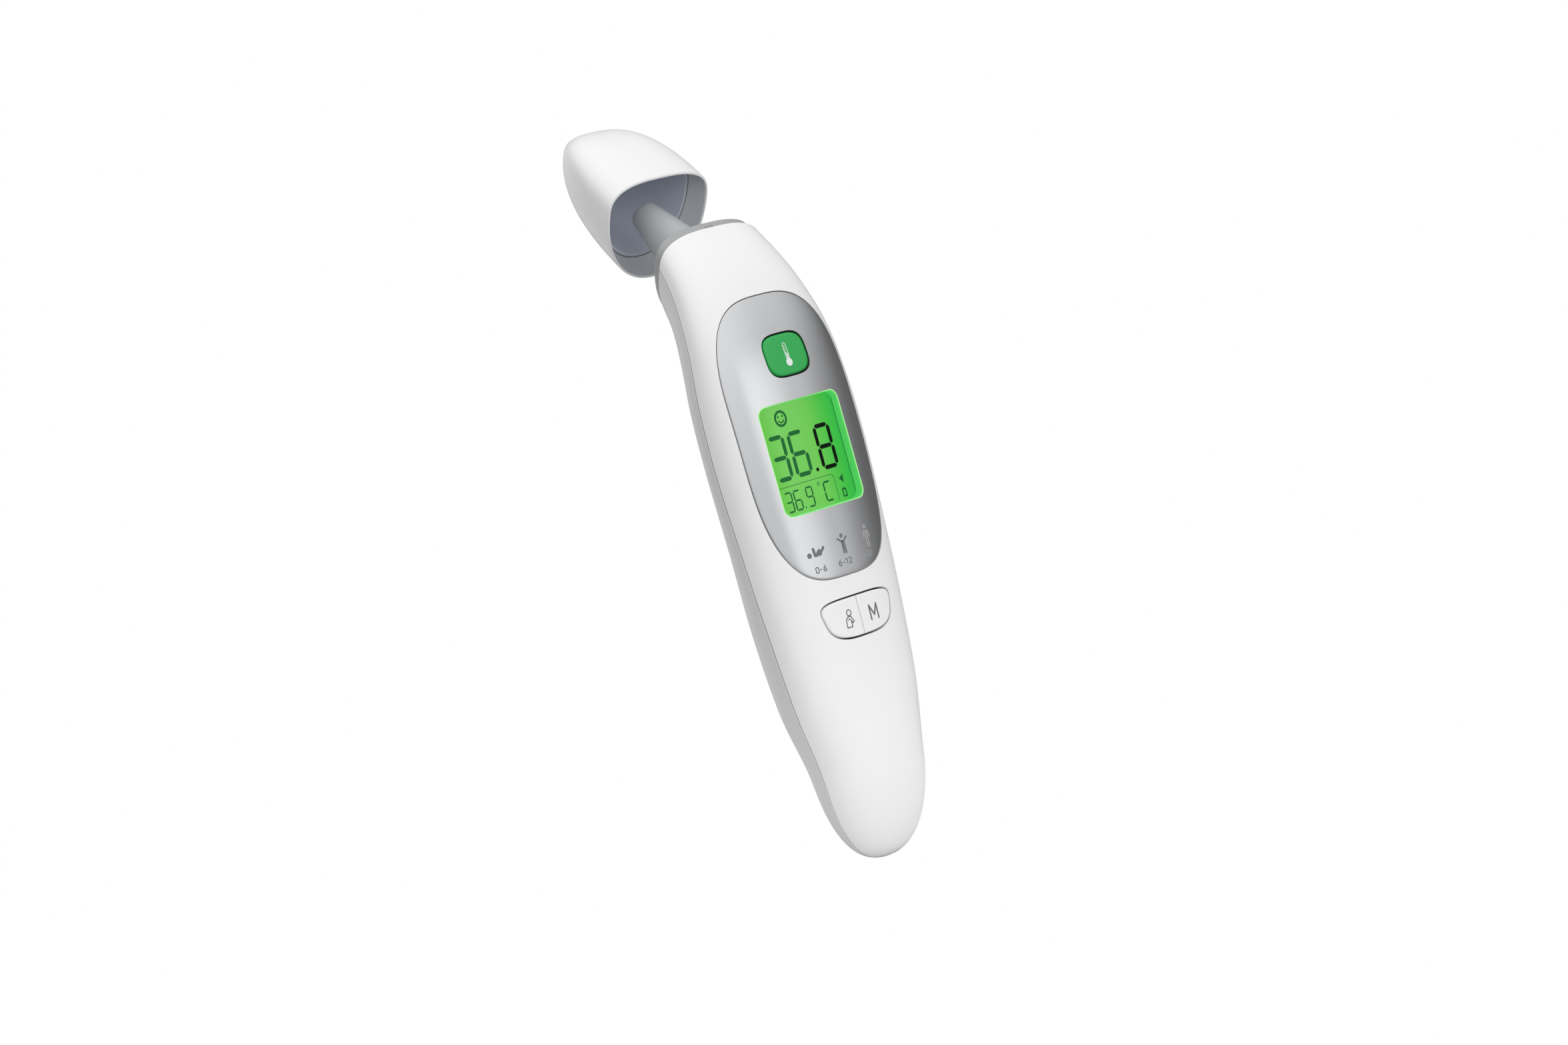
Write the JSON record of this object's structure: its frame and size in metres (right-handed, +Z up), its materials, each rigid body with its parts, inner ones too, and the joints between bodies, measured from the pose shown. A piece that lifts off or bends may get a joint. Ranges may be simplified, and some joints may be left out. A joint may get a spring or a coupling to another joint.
{
  "type": "digital ear thermometer",
  "caption": "Slim hand-held digital ear thermometer with a leaning probe, a pull-off cap, a lit display, a scan button and two keys.",
  "frame": {"origin": "below the middle of the whole object, at the height of the tail's lowest point", "axes": "+Z runs up the handle to the head, -Y is the front with the display, and the probe and its cap lean to +Y"},
  "size_m": [0.0412, 0.049, 0.1667],
  "materials": {
    "shell_white": "smooth satin white plastic",
    "shell_grey": "satin light grey plastic",
    "panel_silver": "silver lacquered plastic",
    "lens_clear": "clear acrylic window",
    "lcd_green": "backlit green liquid-crystal display",
    "light_guide": "clear light guide",
    "frame_white": "white plastic",
    "rubber_pink": "silicone connector",
    "board_green": "solder mask on glass-fibre board",
    "chip_black": "moulded black package",
    "button_green": "green plastic",
    "key_white": "smooth white plastic",
    "stem_black": "black plastic",
    "switch_grey": "pressed steel frame",
    "collar_grey": "satin grey plastic",
    "probe_grey": "satin grey plastic",
    "window_dark": "infrared window",
    "tube_gold": "gold-plated tube",
    "can_steel": "steel can",
    "sleeve_metal": "turned aluminium",
    "ribbon_brown": "polyimide ribbon",
    "plunger_dark": "dark plastic",
    "cap_white": "smooth satin white plastic",
    "liner_bluegrey": "satin blue-grey plastic",
    "cell_sleeve": "printed sleeve, plain",
    "contact_metal": "nickel-plated steel",
    "lead_insulation": "red insulated wire",
    "screw_steel": "zinc-plated steel"
  },
  "bodies": {
    "handle": {"front_shell": "shell_white", "rear_shell": "shell_grey", "display_panel": "panel_silver", "display_lens": "lens_clear", "lcd_glass": "lcd_green", "lcd_backlight": "light_guide", "lcd_frame": "frame_white", "zebra_strip": "rubber_pink", "main_board": "board_green", "board_chips": "chip_black", "buzzer": "chip_black", "scan_switch": "switch_grey", "age_switch": "switch_grey", "memory_switch": "switch_grey", "probe_collar": "collar_grey", "probe_cone": "probe_grey", "probe_window": "window_dark", "wave_tube": "tube_gold", "sensor_can": "can_steel", "sensor_sleeve": "sleeve_metal", "sensor_board": "board_green", "sensor_ribbon": "ribbon_brown", "cap_switch": "switch_grey", "battery_tray": "frame_white", "battery_left": "cell_sleeve", "battery_right": "cell_sleeve", "battery_springs": "contact_metal", "battery_contacts": "contact_metal", "battery_leads": "lead_insulation", "case_screws": "screw_steel"},
    "cap": {"cap_shell": "cap_white", "cap_liner": "liner_bluegrey"},
    "scan_button": {"scan_button": "button_green", "scan_stem": "stem_black"},
    "age_key": {"age_key": "key_white", "age_stem": "stem_black"},
    "memory_key": {"memory_key": "key_white", "memory_stem": "stem_black"},
    "battery_cover": {"battery_cover": "shell_grey"},
    "cap_plunger": {"cap_plunger": "plunger_dark"}
  },
  "joints": [
    {"name": "cap_slide", "type": "slide", "parent": "handle", "child": "cap", "axis": [0, 0.6428, 0.766], "range_m": [-0.0174, 0.0124]},
    {"name": "scan_press", "type": "slide", "parent": "handle", "child": "scan_button", "axis": [0, 1, 0], "range_m": [0, 0.0004], "stiffness_N_per_m": 1500},
    {"name": "age_press", "type": "slide", "parent": "handle", "child": "age_key", "axis": [0, 1, 0], "range_m": [0, 0.0004], "stiffness_N_per_m": 1500},
    {"name": "memory_press", "type": "slide", "parent": "handle", "child": "memory_key", "axis": [0, 1, 0], "range_m": [0, 0.0004], "stiffness_N_per_m": 1500},
    {"name": "cover_lift", "type": "slide", "parent": "handle", "child": "battery_cover", "axis": [0, 1, 0], "range_m": [0, 0.025]},
    {"name": "plunger_press", "type": "slide", "parent": "handle", "child": "cap_plunger", "axis": [0, -0.6428, -0.766], "range_m": [0, 0.0008], "stiffness_N_per_m": 500}
  ]
}
